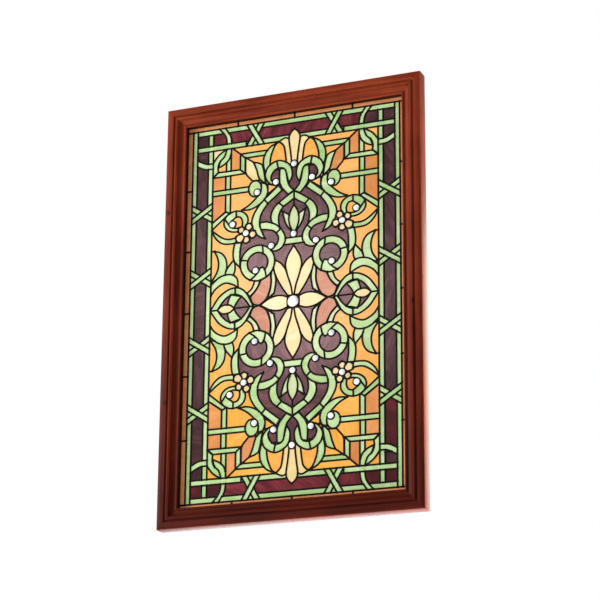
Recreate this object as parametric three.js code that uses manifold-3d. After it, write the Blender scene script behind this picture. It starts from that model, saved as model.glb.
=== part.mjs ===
// A framed stained glass window: a leaded panel of opalescent glass and glass jewels in a mitred,
// moulded wooden frame, made to be fixed by the back of its top rail.
// Millimetres, +Z up. The front faces -Y and the back of the frame lies on the plane y = 0.
// The origin is the fixing point, on the back face of the top rail at its middle.
import * as THREE from 'three';
import { mergeVertices } from 'three/addons/utils/BufferGeometryUtils.js';
import Module from 'manifold-3d';

const wasm = await Module();
wasm.setup();

// Overall sizes of the frame
const WIDTH = 508;
const HEIGHT = 813;
const FRAME_DEPTH = 29;
const MEMBER_WIDTH = 38;
const CLEARANCE = 0.3;

// Layers of the leaded panel, measured forward from the back of the frame
const GLASS_BACK = 5.5;
const GLASS_THICKNESS = 3;
const GLASS_FRONT = GLASS_BACK + GLASS_THICKNESS;
const LEAD_RELIEF = 1.3;
const LEAD_WIDTH = 3;
const PANEL_IN_GROOVE = 6;
const EDGE_CAME = 1.5;
const GROOVE_SIDES = [3.3, 10.7];

// Half sizes of the sight opening, of the glass and of the lead that edges it
const OPENING = { x: WIDTH / 2 - MEMBER_WIDTH, z: HEIGHT / 2 - MEMBER_WIDTH };
const SHEET = { x: OPENING.x + PANEL_IN_GROOVE, z: OPENING.z + PANEL_IN_GROOVE };
const GROOVE_DEPTH = PANEL_IN_GROOVE + CLEARANCE + EDGE_CAME + CLEARANCE;

// The strapwork border: half sizes of its four nested lead rectangles, from the outside in
const BORDER = [
  { x: 207.5, z: 361 },
  { x: 198, z: 350.5 },
  { x: 175.5, z: 328 },
  { x: 165.5, z: 317.5 },
];
const [OUTER_LEAD, BAND_OUTSIDE, BAND_INSIDE, FIELD] = BORDER;
const SIDE_CROSSINGS = [65, 193.5];
const TOP_CROSSING = 79.5;

// Jewels: radius of each glass, how far it stands out of the sheet behind and in front, its dome as
// shares of its radius, and where one quarter of the panel holds it
const JEWEL_RADIUS = 5;
const CENTRE_JEWEL_RADIUS = 10;
const JEWEL_SIDES = 6;
const JEWEL_SINK = 1;
const JEWEL_RISE = 1.5;
const JEWEL_DOME = { height: 0.4, top: 0.5 };

const JEWELS = {
  crown: [0, 268.5],
  loop: [36, 237],
  hook: [73.8, 221.5],
  spiral: [123, 164.3],
  blossom: [95.6, 143.8],
  bud: [0, 130.3],
  scroll: [44.2, 112.4],
  ring: [75, 68],
};

// Corners closer than this to the line they stand on are taken out: in the lead, and in the whole
const FINEST_NOTCH = 0.8;
const FINEST_SLIVER = 0.02;

// Points this close together are one
const WELD = 1e-4;

// How far an offset corner may reach, in offsets, at a pointed tip and in a notch
const TIP_REACH = 1.8;
const NOTCH_REACH = 4;

const COLOURS = {
  wood: 0x7a3a1f,
  lead: 0x241a10,
  glass: 0xb9d993,
  jewel: 0xf2f4f4,
};

// ---------------------------------------------------------------- plane outlines

// An outline is a list of sides, each straight through two points or a smooth curve through more
function outlineOf(sides) {
  return sides.flatMap((points) => {
    const corners = points.map(([x, z]) => new THREE.Vector2(x, z));
    const curve = points.length === 2 ? corners : new THREE.SplineCurve(corners).getPoints(points.length - 1);
    return curve.slice(0, -1);
  });
}

function polygon(...corners) {
  return corners.map((corner, i) => [corner, corners[(i + 1) % corners.length]]);
}

function rectangle(x0, z0, x1, z1) {
  return polygon([x0, z0], [x1, z0], [x1, z1], [x0, z1]);
}

function oval([x, z], radiusX, radiusZ, count) {
  const turns = Array.from({ length: count }, (_, i) => (2 * Math.PI * (i + 0.5)) / count);
  return polygon(...turns.map((turn) => [x + radiusX * Math.cos(turn), z + radiusZ * Math.sin(turn)]));
}

// The other half of a curve that ends on one of the axes of the panel
const mirroredX = (points) => points.map(([x, z]) => [-x, z]).reverse();
const mirroredZ = (points) => points.map(([x, z]) => [x, -z]).reverse();

// An outline moved outward by a distance, or inward by a negative one, with short points at its tips
function offset(outline, distance) {
  const sense = Math.sign(THREE.ShapeUtils.area(outline));
  return outline.map((point, i) => {
    const before = outline[(i + outline.length - 1) % outline.length];
    const after = outline[(i + 1) % outline.length];
    const out = [point.clone().sub(before), after.clone().sub(point)]
      .map((edge) => new THREE.Vector2(edge.y, -edge.x).normalize());
    const middle = out[0].clone().add(out[1]).normalize();
    const stretch = Math.min(1 / middle.dot(out[0]), distance > 0 ? TIP_REACH : NOTCH_REACH);
    return point.clone().addScaledVector(middle, sense * distance * stretch);
  });
}

// ---------------------------------------------------------------- the pattern

// Pieces are laid from the bottom up, and each hides the lead of what lies under it. The pattern is
// the same in all four quarters, so a piece is drawn once and laid in each of them.
const QUARTERS = [[1, 1], [-1, 1], [1, -1], [-1, -1]];
const TOP_AND_BOTTOM = [[1, 1], [1, -1]];
const LEFT_AND_RIGHT = [[1, 1], [-1, 1]];
const laid = [];

function lay(sides, places = QUARTERS) {
  for (const [sx, sz] of places) {
    laid.push(outlineOf(sides).map(({ x, y }) => new THREE.Vector2(sx * x, sz * y)));
  }
}

function layBorder() {
  for (const { x, z } of BORDER) {
    lay(rectangle(-x, -z, x, z), [[1, 1]]);
  }
  // Two straps run on past the corner of the field, across the corner of the dark band
  lay(rectangle(FIELD.x, BAND_INSIDE.z, BAND_INSIDE.x, BAND_OUTSIDE.z));
  lay(rectangle(105, FIELD.z, BAND_OUTSIDE.x, BAND_INSIDE.z));
}

// Two straps of glass that cross over the border, the second on top of the first
function layCrossings() {
  const run = 12.5;
  const half = 6;
  for (const way of [-1, 1]) {
    const [low, high] = [TOP_CROSSING - way * run, TOP_CROSSING + way * run];
    lay(polygon([low - half, FIELD.z], [low + half, FIELD.z],
      [high + half, OUTER_LEAD.z], [high - half, OUTER_LEAD.z]));
  }
  for (const height of SIDE_CROSSINGS) {
    for (const way of [-1, 1]) {
      const [inner, outer] = [height + way * (run + 1), height - way * (run + 1)];
      lay(polygon([FIELD.x, inner - half], [OUTER_LEAD.x, outer - half],
        [OUTER_LEAD.x, outer + half], [FIELD.x, inner + half]));
    }
  }
}

// Straight straps that frame the corner of the field, and the horn that curls out of it
function layCornerLattice() {
  lay(rectangle(128.5, 186, 138.5, 263));
  lay(rectangle(85, 225.5, FIELD.x, 235.5));
  lay(polygon([99.5, 263], [FIELD.x, 263], [FIELD.x, 272.5], [109.5, 272.5], [109.5, 303.5],
    [45, 303.5], [45, 294], [99.5, 294]));
  lay([[[FIELD.x, 292.5], [156, 306], [138, FIELD.z]], [[138, FIELD.z], [128.5, FIELD.z]],
    [[128.5, FIELD.z], [132, 297], [154.5, 284]], [[154.5, 284], [154.5, 272.5]],
    [[154.5, 272.5], [FIELD.x, 264]], [[FIELD.x, 264], [FIELD.x, 292.5]]]);
}

// The palmette under the top of the field: a green leaf, two petals and the middle petal
function layPalmette() {
  lay([[[33, 316], [55, 303], [59.5, 261]], [[59.5, 261], [33, 261]], [[33, 261], [33, 316]]]);
  lay([[[31, 317], [43, 303], [49, 270]], [[49, 270], [25, 270]], [[25, 270], [31, 317]]]);
  lay([[[9, 319], [19, 322.8], [31, 317]], [[31, 317], [19.5, 300], [15.5, 268]], [[15.5, 268], [9, 319]]]);
  const half = [[4, 266], [9.3, 304], [9, 329], [0, 338.5]];
  lay([half, mirroredX(half), [[-4, 266], [4, 266]]], TOP_AND_BOTTOM);
  // The leaf that stands between the palmette and the corner
  lay([[[57, 237], [61.5, 263], [82.5, 283]], [[82.5, 283], [73, 258], [57, 237]]]);
}

// Scrolls beside the middle line: the loop over the vase, and the straps that make the vase
function layVase() {
  lay([[[29, 262], [28, 232], [12, 209]], [[12, 209], [0, 215.5]], [[0, 215.5], [15, 245]],
    [[15, 245], [29, 262]]]);
  lay([[[30.5, 195], [0, 214.5]], [[0, 214.5], [0, 200]], [[0, 200], [21.5, 186.5]],
    [[21.5, 186.5], [30, 167], [28, 146]], [[28, 146], [42, 153]], [[42, 153], [45, 173], [30.5, 195]]]);
  lay([[[10.8, 231.5], [5, 258], [31, 279.2], [57, 258], [33, 229.3]],
    [[33, 229.3], [45.5, 249], [31, 264.3], [14.5, 250], [10.8, 231.5]]]);
  lay([[[68, 160.5], [34, 151.5], [16.7, 121], [46, 104]], [[46, 104], [31, 122], [40, 141], [68, 147]],
    [[68, 147], [68, 160.5]]]);
  lay([[[31, 230], [60, 205.5]], [[60, 205.5], [84, 166], [57, 128]], [[57, 128], [68, 165], [52.5, 196.5]],
    [[52.5, 196.5], [24, 219]], [[24, 219], [31, 230]]]);
  // The bud in the vase
  const half = [[0, 201], [10, 162], [0, 132]];
  lay([half, mirroredX(half)], TOP_AND_BOTTOM);
}

// The hook beside the vase, and the spiral that curls over the small blossom
function layHooks() {
  lay([[[57, 236.5], [54.5, 213.5], [72, 195], [105, 190]], [[105, 190], [76, 211], [66, 240]],
    [[66, 240], [57, 236.5]]]);
  lay(polygon([130, 187.5], [137.5, 191.5], [FIELD.x, 172], [FIELD.x, 158.5]));
  lay([[[118.5, 126.5], [121.3, 108], [107, 78]], [[107, 78], [107, 140]],
    [[107, 140], [137, 137], [165, 157.5]], [[165, 157.5], [145, 130], [118.5, 126.5]]]);
  lay(oval([116.6, 169.5], 24.6, 20.6, 8));
}

// The ring, the hood and the leaf beside the border, and the leaf beside the middle flower
function layRingAndLeaves() {
  lay([[[160, 116], [135.5, 97], [141, 62]], [[141, 62], [165, 56]], [[165, 56], [150.5, 85], [160, 116]]]);
  lay([[[110, 39.5], [116, 62], [142, 66], [165, 50]], [[165, 50], [165, 28.5]],
    [[165, 28.5], [137, 51], [110, 39.5]]]);
  lay(oval([71.8, 82.3], 34.5, 34.5, 10));
}

// The pointed medallion at the middle of each side
function layMedallion() {
  const outside = [[79, 0], [93, 26], [116, 39.5], [147, 26], [165, 0]];
  lay([outside, mirroredZ(outside)], LEFT_AND_RIGHT);
}

// The middle flower: four slanted petals under two upright and two level ones, and the lead ring
// that holds the centre jewel on them
function layFlower() {
  lay([[[35.5, 83], [37, 58], [11, 12]], [[11, 12], [1.5, 12]], [[1.5, 12], [13, 58], [35.5, 83]]]);
  const upright = [[1.5, 12], [13.5, 58], [12.5, 87], [0, 108]];
  lay([upright, mirroredX(upright), [[-1.5, 12], [1.5, 12]]], TOP_AND_BOTTOM);
  const level = [[11, 9], [31, 14.3], [65, 0]];
  lay([level, mirroredZ(level), [[11, -9], [11, 9]]], LEFT_AND_RIGHT);
  lay(oval([0, 0], 12.3, 12.3, 12), [[1, 1]]);
}

layBorder();
layCrossings();
layCornerLattice();
layPalmette();
layVase();
layHooks();
layRingAndLeaves();
layMedallion();
layFlower();

// ---------------------------------------------------------------- solids

// A flat outline becomes a plate that stands between two distances from the back of the frame
function plate(outline, back, front) {
  const shape = new THREE.Shape(outline);
  const geometry = new THREE.ExtrudeGeometry(shape, { depth: front - back, bevelEnabled: false });
  return geometry.rotateX(Math.PI / 2).translate(0, -back, 0);
}

function solid(geometry) {
  geometry.deleteAttribute('normal');
  geometry.deleteAttribute('uv');
  const welded = mergeVertices(geometry, WELD);
  const mesh = new wasm.Mesh({
    numProp: 3,
    vertProperties: new Float32Array(welded.attributes.position.array),
    triVerts: new Uint32Array(welded.index.array),
  });
  return new wasm.Manifold(mesh);
}

function geometryOf(manifold) {
  const { vertProperties, triVerts } = manifold.getMesh();
  const geometry = new THREE.BufferGeometry();
  geometry.setAttribute('position', new THREE.BufferAttribute(new Float32Array(vertProperties), 3));
  geometry.setIndex(new THREE.BufferAttribute(new Uint32Array(triVerts), 1));
  const faceted = geometry.toNonIndexed();
  faceted.computeVertexNormals();
  return faceted;
}

const joined = (solids) => solids.reduce((sum, next) => sum.add(next));

function ringOf(outer, inner, back, front) {
  const corners = ({ x, z }) => outlineOf(rectangle(-x, -z, x, z));
  const opening = solid(plate(corners(inner), back - 1, front + 1));
  return solid(plate(corners(outer), back, front)).subtract(opening);
}

const jewelPlaces = [];
for (const [name, [x, z]] of Object.entries(JEWELS)) {
  for (const [sx, sz] of x === 0 ? TOP_AND_BOTTOM : QUARTERS) {
    const level = sz > 0 ? 'upper' : 'lower';
    const hand = x === 0 ? '' : sx > 0 ? '_right' : '_left';
    jewelPlaces.push({ name: `${level}${hand}_${name}_jewel`, at: [sx * x, sz * z], radius: JEWEL_RADIUS });
  }
}
jewelPlaces.push({ name: 'centre_jewel', at: [0, 0], radius: CENTRE_JEWEL_RADIUS });

// Short lines of lead that part the outer strip of glass and tie the network to the came
function makeTies(back, front) {
  const half = LEAD_WIDTH / 2;
  const tie = (corners) => solid(plate(outlineOf(corners), back, front));
  const ends = [-1, 1].flatMap((sign) => [
    tie(rectangle(-half, sign * OUTER_LEAD.z, half, sign * SHEET.z)),
    tie(rectangle(sign * OUTER_LEAD.x, -half, sign * SHEET.x, half)),
  ]);
  return joined(ends);
}

// The lines of lead that show on the front: each outline, but for what lies under a later one
function leadNetwork(back, front) {
  const fill = (outline) => solid(plate(outline, back, front));
  const moved = (outline, sign) => fill(offset(outline, (sign * LEAD_WIDTH) / 2));
  const line = (outline) => moved(outline, 1).subtract(moved(outline, -1));
  const [first, ...rest] = laid.toReversed();
  let lead = line(first);
  let covered = fill(first);
  for (const outline of rest) {
    lead = lead.add(line(outline).subtract(covered));
    covered = covered.add(fill(outline));
  }
  return lead.asOriginal().simplify(FINEST_NOTCH);
}

// The leading: a network on both faces of the glass, joined by the came round its edge
function makeLeading() {
  const edge = {
    inner: { x: SHEET.x + CLEARANCE, z: SHEET.z + CLEARANCE },
    outer: { x: SHEET.x + CLEARANCE + EDGE_CAME, z: SHEET.z + CLEARANCE + EDGE_CAME },
    lip: { x: OPENING.x - EDGE_CAME, z: OPENING.z - EDGE_CAME },
  };
  const faces = [
    [GLASS_FRONT + CLEARANCE, GLASS_FRONT + CLEARANCE + LEAD_RELIEF],
    [GLASS_BACK - CLEARANCE - LEAD_RELIEF, GLASS_BACK - CLEARANCE],
  ];
  const band = ringOf(edge.outer, edge.inner, faces[1][0], faces[0][1]);
  const lips = faces.map(([back, front]) => ringOf(edge.outer, edge.lip, back, front));
  const leading = joined([band, ...lips, makeTies(...faces[0]), leadNetwork(...faces[0])]);
  return leading.subtract(joined(jewelHoles())).asOriginal().simplify(FINEST_SLIVER);
}

// Every jewel passes through the panel with a little clearance
function jewelHoles() {
  return jewelPlaces.map(({ at, radius }) => {
    const reach = radius + CLEARANCE / Math.cos(Math.PI / JEWEL_SIDES);
    return solid(plate(outlineOf(oval(at, reach, reach, JEWEL_SIDES)), 0, FRAME_DEPTH));
  });
}

function makeGlass() {
  const corners = outlineOf(rectangle(-SHEET.x, -SHEET.z, SHEET.x, SHEET.z));
  return solid(plate(corners, GLASS_BACK, GLASS_FRONT)).subtract(joined(jewelHoles()));
}

// A cast jewel: a flat-backed round with a faceted dome, turned about the line of sight
function jewelGeometry(radius) {
  const back = GLASS_BACK - JEWEL_SINK;
  const girdle = GLASS_FRONT + JEWEL_RISE;
  const top = girdle + JEWEL_DOME.height * radius;
  const profile = [[0, back], [radius, back], [radius, girdle], [JEWEL_DOME.top * radius, top], [0, top]];
  const points = profile.map(([r, y]) => new THREE.Vector2(r, y));
  const firstCorner = Math.PI / 2 - Math.PI / JEWEL_SIDES;
  return new THREE.LatheGeometry(points, JEWEL_SIDES, firstCorner).rotateX(Math.PI);
}

// Section of a frame member: across is measured from the outer edge, depth from the back
const MOULDING = [
  [0, 0], [MEMBER_WIDTH, 0], [MEMBER_WIDTH, GROOVE_SIDES[0]],
  [MEMBER_WIDTH - GROOVE_DEPTH, GROOVE_SIDES[0]], [MEMBER_WIDTH - GROOVE_DEPTH, GROOVE_SIDES[1]],
  [MEMBER_WIDTH, GROOVE_SIDES[1]], [MEMBER_WIDTH, 20], [36.5, 22.5], [33, 23], [31, 21.5],
  [29.5, 21.5], [26, 23], [23.5, 26], [22, 28], [19, 29], [16.5, 28],
  [15.5, 26], [14, 26], [13, 28], [1, 28], [0, 27],
];

// A member of the given length, its ends cut to a mitre that falls back with the section
function memberGeometry(length) {
  const profile = new THREE.Shape(MOULDING.map(([across, depth]) => new THREE.Vector2(across, depth)));
  const geometry = new THREE.ExtrudeGeometry(profile, { depth: length, bevelEnabled: false });
  const position = geometry.attributes.position;
  const relief = CLEARANCE / Math.SQRT2;
  for (let i = 0; i < position.count; i += 1) {
    const [across, depth, run] = [position.getX(i), position.getY(i), position.getZ(i)];
    const cut = across + relief;
    position.setXYZ(i, length / 2 - (run === 0 ? cut : length - cut), -depth, -across);
  }
  geometry.computeVertexNormals();
  return geometry;
}

// ---------------------------------------------------------------- the window

const materials = {
  wood: new THREE.MeshStandardMaterial({ color: COLOURS.wood, roughness: 0.45, metalness: 0 }),
  lead: new THREE.MeshStandardMaterial({ color: COLOURS.lead, roughness: 0.5, metalness: 0.7 }),
  glass: new THREE.MeshStandardMaterial({ color: COLOURS.glass, roughness: 0.15, metalness: 0 }),
  jewel: new THREE.MeshStandardMaterial({ color: COLOURS.jewel, roughness: 0.05, metalness: 0 }),
};

const panel = new THREE.Group();

function add(parent, name, geometry, material) {
  const mesh = new THREE.Mesh(geometry, material);
  mesh.name = name;
  parent.add(mesh);
  return mesh;
}

const MEMBERS = [
  ['frame_top_rail', WIDTH, 0, HEIGHT / 2],
  ['frame_right_stile', HEIGHT, 90, WIDTH / 2],
  ['frame_bottom_rail', WIDTH, 180, HEIGHT / 2],
  ['frame_left_stile', HEIGHT, 270, WIDTH / 2],
];
for (const [name, length, turn, reach] of MEMBERS) {
  const holder = new THREE.Group();
  holder.rotation.y = THREE.MathUtils.degToRad(turn);
  add(holder, name, memberGeometry(length), materials.wood).position.z = reach;
  panel.add(holder);
}

add(panel, 'leading', geometryOf(makeLeading()), materials.lead);
add(panel, 'glass', geometryOf(makeGlass()), materials.glass);
for (const { name, at, radius } of jewelPlaces) {
  add(panel, name, jewelGeometry(radius), materials.jewel).position.set(at[0], 0, at[1]);
}

// The origin goes to the fixing point, on the back of the top rail
const window = new THREE.Group();
panel.position.z = -(HEIGHT / 2 - MEMBER_WIDTH / 2);
window.add(panel);

export default window;
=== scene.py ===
import math
import random

import bmesh
import bpy
from mathutils import Matrix, Quaternion, Vector
from mathutils.geometry import delaunay_2d_cdt, interpolate_bezier


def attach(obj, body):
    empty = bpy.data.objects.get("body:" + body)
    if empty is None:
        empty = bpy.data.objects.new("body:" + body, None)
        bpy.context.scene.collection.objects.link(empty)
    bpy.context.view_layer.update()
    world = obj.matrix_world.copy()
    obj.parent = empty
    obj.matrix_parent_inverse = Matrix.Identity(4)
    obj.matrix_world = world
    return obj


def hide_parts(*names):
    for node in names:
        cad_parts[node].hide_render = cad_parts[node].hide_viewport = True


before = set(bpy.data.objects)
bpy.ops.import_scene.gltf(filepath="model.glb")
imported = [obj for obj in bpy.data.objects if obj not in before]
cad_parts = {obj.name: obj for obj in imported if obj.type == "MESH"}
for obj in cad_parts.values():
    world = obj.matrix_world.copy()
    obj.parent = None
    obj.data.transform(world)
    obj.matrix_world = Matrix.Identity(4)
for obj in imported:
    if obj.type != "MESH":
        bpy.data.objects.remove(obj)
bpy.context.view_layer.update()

MM = 0.001

# ---------------------------------------------------------------------------------------------
# The four members of the frame: softwood, run through a moulding cutter, mitred at 45 degrees and
# glued. They are stained a reddish mahogany, with a little varnish that only shines on the outer
# faces. Their colour also holds painted shade: darker toward the foot and in the rebate by the glass.

FRAME_X = (-254.0, 254.0)
FRAME_Z = (-794.0, 19.0)
MEMBER_WIDTH = 38.0
MITRE_GAP = 0.02
# Where painted shade falls in the rebate by the glass: across from the outer edge, and height from the back.
WALL_SHADE_ACROSS = (35.0, 37.5)
WALL_SHADE_HEIGHT = (18.0, 21.0)
OUTER_FACE = (0.3, 0.5)
OUTER_POLISH = 0.42
KNOT_RADIUS = (0.5, 5.0)
DRAWN_OUT = 0.045


def arc(centre, radius, start, end, count):
    """Points of a round part of a section, as (across from the outer edge, height from the back)."""
    turns = [math.radians(start + (end - start) * i / count) for i in range(count + 1)]
    return [(centre[0] + radius * math.cos(t), centre[1] + radius * math.sin(t)) for t in turns]


MEMBER_SECTION = [
    (0.4, 0.0), (MEMBER_WIDTH, 0.0), (MEMBER_WIDTH, 3.3), (29.9, 3.3), (29.9, 10.7), (MEMBER_WIDTH, 10.7),
    (MEMBER_WIDTH, 19.6),
    *arc((35.4, 20.4), 2.5, -18, 160, 9),
    (32.6, 21.0), (31.6, 20.8), (30.2, 20.9), (29.4, 21.2),
    *arc((29.6, 28.6), 7.2, 264, 188, 8),
    (22.4, 28.0),
    *arc((19.1, 26.2), 2.8, 40, 150, 8),
    (16.0, 26.4), (15.4, 25.6), (14.6, 25.5), (14.0, 26.2), (13.6, 27.4),
    (12.6, 28.2), (7.0, 28.4), (1.6, 28.2), (0.5, 27.6), (0.0, 26.4), (0.0, 0.4),
]


def linear(red, green, blue):
    """A paint maker's colour, each part out of 255, as the light that it gives back."""
    parts = [part / 255 for part in (red, green, blue)]
    return [p / 12.92 if p <= 0.04045 else ((p + 0.055) / 1.055) ** 2.4 for p in parts] + [1.0]


class Shade:
    """One output of a finish's nodes. Sums and products of shades add their own Math nodes."""

    def __init__(self, socket):
        self.socket = socket

    def node(self, kind, settings, sockets, output=0):
        made = self.socket.id_data.nodes.new(kind)
        for setting, value in settings.items():
            setattr(made, setting, value)
        for name, value in sockets.items():
            if isinstance(value, Shade):
                self.socket.id_data.links.new(value.socket, made.inputs[name])
            else:
                made.inputs[name].default_value = value
        return Shade(made.outputs[output])

    def math(self, operation, *others):
        return self.node("ShaderNodeMath", {"operation": operation}, dict(enumerate((self, *others))))

    def __add__(self, other):
        return self.math("ADD", other)

    def __sub__(self, other):
        return self.math("SUBTRACT", other)

    def __rsub__(self, other):
        return self.math("MULTIPLY", -1.0).math("ADD", other)

    def __mul__(self, other):
        return self.math("MULTIPLY", other)

    def __pow__(self, other):
        return self.math("POWER", other)

    __radd__, __rmul__ = __add__, __mul__

    def between(self, low, high, at_low=0.0, at_high=1.0):
        """Runs from at_low to at_high as the value goes from low to high, and stays at either end."""
        limits = {"From Min": low, "From Max": high, "To Min": at_low, "To Max": at_high}
        return self.node("ShaderNodeMapRange", {}, {"Value": self, **limits})

    def blend(self, first, second):
        """The first colour where the value is 0, the second where it is 1."""
        return self.node("ShaderNodeMix", {"data_type": "RGBA"}, {0: self, 6: first, 7: second}, output=2)

    def noise(self, scale, detail=3.0, distortion=0.0, roughness=0.55):
        grain = {"Scale": scale, "Detail": detail, "Distortion": distortion, "Roughness": roughness}
        return self.node("ShaderNodeTexNoise", {}, {"Vector": self, **grain})

    def mapped(self, scale):
        """The place, drawn out along one of its directions where the scale is below 1."""
        return self.node("ShaderNodeMapping", {}, {"Vector": self, "Scale": scale})

    def part(self, axis):
        """One coordinate of a place."""
        return self.node("ShaderNodeSeparateXYZ", {}, {0: self}, output="XYZ".index(axis))

    def raised(self, strength, distance):
        return self.node("ShaderNodeBump", {}, {"Height": self, "Strength": strength, "Distance": distance})

    def feed(self, name):
        """Ends at one of the shader's own sockets."""
        tree = self.socket.id_data
        tree.links.new(self.socket, tree.nodes["Principled BSDF"].inputs[name])


def finish_of(name, **constants):
    """A new finish with its shader's constant sockets set, and the place on the object that it is read at."""
    material = bpy.data.materials.new(name)
    material.use_nodes = True
    nodes = material.node_tree.nodes
    for socket, value in constants.items():
        nodes["Principled BSDF"].inputs[socket.replace("_", " ")].default_value = value
    return material, Shade(nodes.new("ShaderNodeTexCoord").outputs["Object"])


def stained_wood(name, along, knots):
    """Stained softwood with knots at the given places, with shade painted in: darker at the foot and by the
    glass.
    """
    wood, place = finish_of(name, Specular_IOR_Level=0.08, Coat_Roughness=0.3)
    stretch = (DRAWN_OUT, 1.0, 1.0) if along == "X" else (1.0, 1.0, DRAWN_OUT)
    grain = place.mapped(scale=stretch)
    rings = grain.noise(95.0, detail=2.0, distortion=0.6).between(0.35, 0.68)
    fibres = grain.noise(900.0, detail=4.0, roughness=0.7).between(0.3, 0.7)
    blotches = place.noise(9.0, detail=2.0).between(0.35, 0.65)
    depth = rings * 0.5 + fibres * 0.3 + blotches * 0.2
    # Painted shade and light: darker colours at the foot and lighter ones at the head, blended by height.
    shaded_foot = depth.blend(linear(52, 11, 3), linear(92, 25, 7))
    head = depth.blend(linear(90, 26, 8), linear(150, 62, 34))
    colour = place.part("Z").between(-0.76, -0.05).blend(shaded_foot, head)
    low, high = FRAME_Z if along == "X" else FRAME_X
    reach = (place.part("Z" if along == "X" else "X") - (low + high) / 2 * MM).math("ABSOLUTE")
    edge = (high - low) / 2
    # Painted shade: the faces deep in the rebate beside the glass are darkened to a near-black brown.
    wall_shade_mask = reach.between((edge - WALL_SHADE_ACROSS[1]) * MM, (edge - WALL_SHADE_ACROSS[0]) * MM, 1.0, 0.0)
    recess_shade = wall_shade_mask * place.part("Y").between(-WALL_SHADE_HEIGHT[1] * MM, -WALL_SHADE_HEIGHT[0] * MM)
    colour = recess_shade.blend(colour, linear(30, 9, 4))
    for knot in knots:
        away = place.node("ShaderNodeVectorMath", {"operation": "SUBTRACT"}, {0: place, 1: knot})
        away = away.mapped(scale=(1.0, 0.5, 0.6) if along == "Z" else (0.6, 0.5, 1.0))
        spread = away.node("ShaderNodeVectorMath", {"operation": "LENGTH"}, {0: away}, output=1)
        dark = spread.between(KNOT_RADIUS[0] * MM, KNOT_RADIUS[1] * MM, 0.9, 0.0)
        colour = dark.blend(colour, linear(30, 8, 5))
    colour.feed("Base Color")
    outside = reach.between((edge - OUTER_FACE[1]) * MM, (edge - OUTER_FACE[0]) * MM, 0.0, OUTER_POLISH)
    outside.feed("Coat Weight")
    (fibres * 0.14 + rings * 0.06 + 0.4).feed("Roughness")
    (fibres * 0.6 + rings * 0.4).raised(0.2, 0.0002).feed("Normal")
    return wood


def frame_member(name, along, side, knots):
    """A member with its section swept along x (the rails) or z (the stiles) and its ends mitred."""
    ends = FRAME_X if along == "X" else FRAME_Z
    edge = (FRAME_Z if along == "X" else FRAME_X)[1 if side > 0 else 0]
    bm = bmesh.new()
    corners = []
    for across, height in MEMBER_SECTION:
        offset = edge - side * across
        point = (ends[0], -height, offset) if along == "X" else (offset, -height, ends[0])
        corners.append(bm.verts.new(point))
    section = bm.faces.new(corners)
    run = (ends[1] - ends[0], 0, 0) if along == "X" else (0, 0, ends[1] - ends[0])
    swept = bmesh.ops.extrude_face_region(bm, geom=[section])["geom"]
    bmesh.ops.translate(bm, verts=[g for g in swept if isinstance(g, bmesh.types.BMVert)], vec=run)
    bmesh.ops.recalc_face_normals(bm, faces=bm.faces)
    for end, sense in zip(ends, (-1, 1)):
        corner = (end, 0, edge) if along == "X" else (edge, 0, end)
        normal = Vector((sense, 0, -side)) if along == "X" else Vector((-side, 0, sense))
        normal.normalize()
        plane = Vector(corner) - normal * MITRE_GAP
        cut = bmesh.ops.bisect_plane(bm, geom=[*bm.verts, *bm.edges, *bm.faces], plane_co=plane,
                                     plane_no=normal, clear_outer=True)["geom_cut"]
        bmesh.ops.contextual_create(bm, geom=[g for g in cut if isinstance(g, bmesh.types.BMEdge)])
    bmesh.ops.recalc_face_normals(bm, faces=bm.faces)
    member = piece(name + "_moulding", bm, [stained_wood(name + "_wood", along, knots)])
    smooth_over(member, degrees=28)
    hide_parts(name)


def piece(name, bm, finishes):
    """Turns a mesh drawn in millimetres into an object of the window, in metres."""
    bmesh.ops.scale(bm, verts=bm.verts, vec=(MM, MM, MM))
    mesh = bpy.data.meshes.new(name)
    bm.to_mesh(mesh)
    bm.free()
    for finish in finishes:
        mesh.materials.append(finish)
    made = bpy.data.objects.new(name, mesh)
    bpy.context.scene.collection.objects.link(made)
    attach(made, "root")
    return made


def smooth_over(made, degrees):
    """Shades as round every edge that turns by less than this."""
    made.data.polygons.foreach_set("use_smooth", [True] * len(made.data.polygons))
    made.data.set_sharp_from_angle(angle=math.radians(degrees))


frame_member("frame_top_rail", "X", 1, [(0.232, -0.029, -0.006)])
frame_member("frame_right_stile", "Z", 1, [(0.236, -0.029, -0.42)])
frame_member("frame_bottom_rail", "X", -1, [])
frame_member("frame_left_stile", "Z", -1, [(-0.247, -0.029, -0.19), (-0.243, -0.029, -0.56)])

# ---------------------------------------------------------------------------------------------
# The cartoon: the full-size drawing that the glass is cut to. It is drawn in one quarter, from the
# middle of the panel, and repeated; a shape that is laid later hides what lies under it.

PANEL_MIDDLE = -387.5
CURVE_STEP = 4.0
UPPER_RIGHT, UPPER_LEFT, LOWER_RIGHT, LOWER_LEFT = (1, 1), (-1, 1), (1, -1), (-1, -1)
QUARTERS = (UPPER_RIGHT, UPPER_LEFT, LOWER_RIGHT, LOWER_LEFT)
UPPER_AND_LOWER = ((1, 1), (1, -1))
LEFT_AND_RIGHT = ((1, 1), (-1, 1))
WHOLE = ((1, 1),)

SHEET = (222.0, 374.5)
OUTER_LEAD = (207.5, 361.0)
BAND_OUTSIDE = (198.0, 350.5)
BAND_INSIDE = (175.5, 328.0)
FIELD = (165.5, 317.5)
BAND_CHANGES_GLASS = 132
SIDE_CROSSINGS = (65.3, 193.5)

laid = []
joints = []


def line_through(points):
    """Points along the straight line between two, or along a smooth curve through more, but the last."""
    if len(points) == 2:
        return [Vector(points[0])]
    knots = [Vector(p) for p in points]
    knots = [knots[0], *knots, knots[-1]]
    line = []
    for before, start, end, after in zip(knots, knots[1:], knots[2:], knots[3:]):
        count = max(2, round((end - start).length / CURVE_STEP) + 1)
        handles = (start + (end - before) / 6, end - (after - start) / 6)
        line += [p.to_2d() for p in interpolate_bezier(start, *handles, end, count)[:-1]]
    return line


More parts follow.
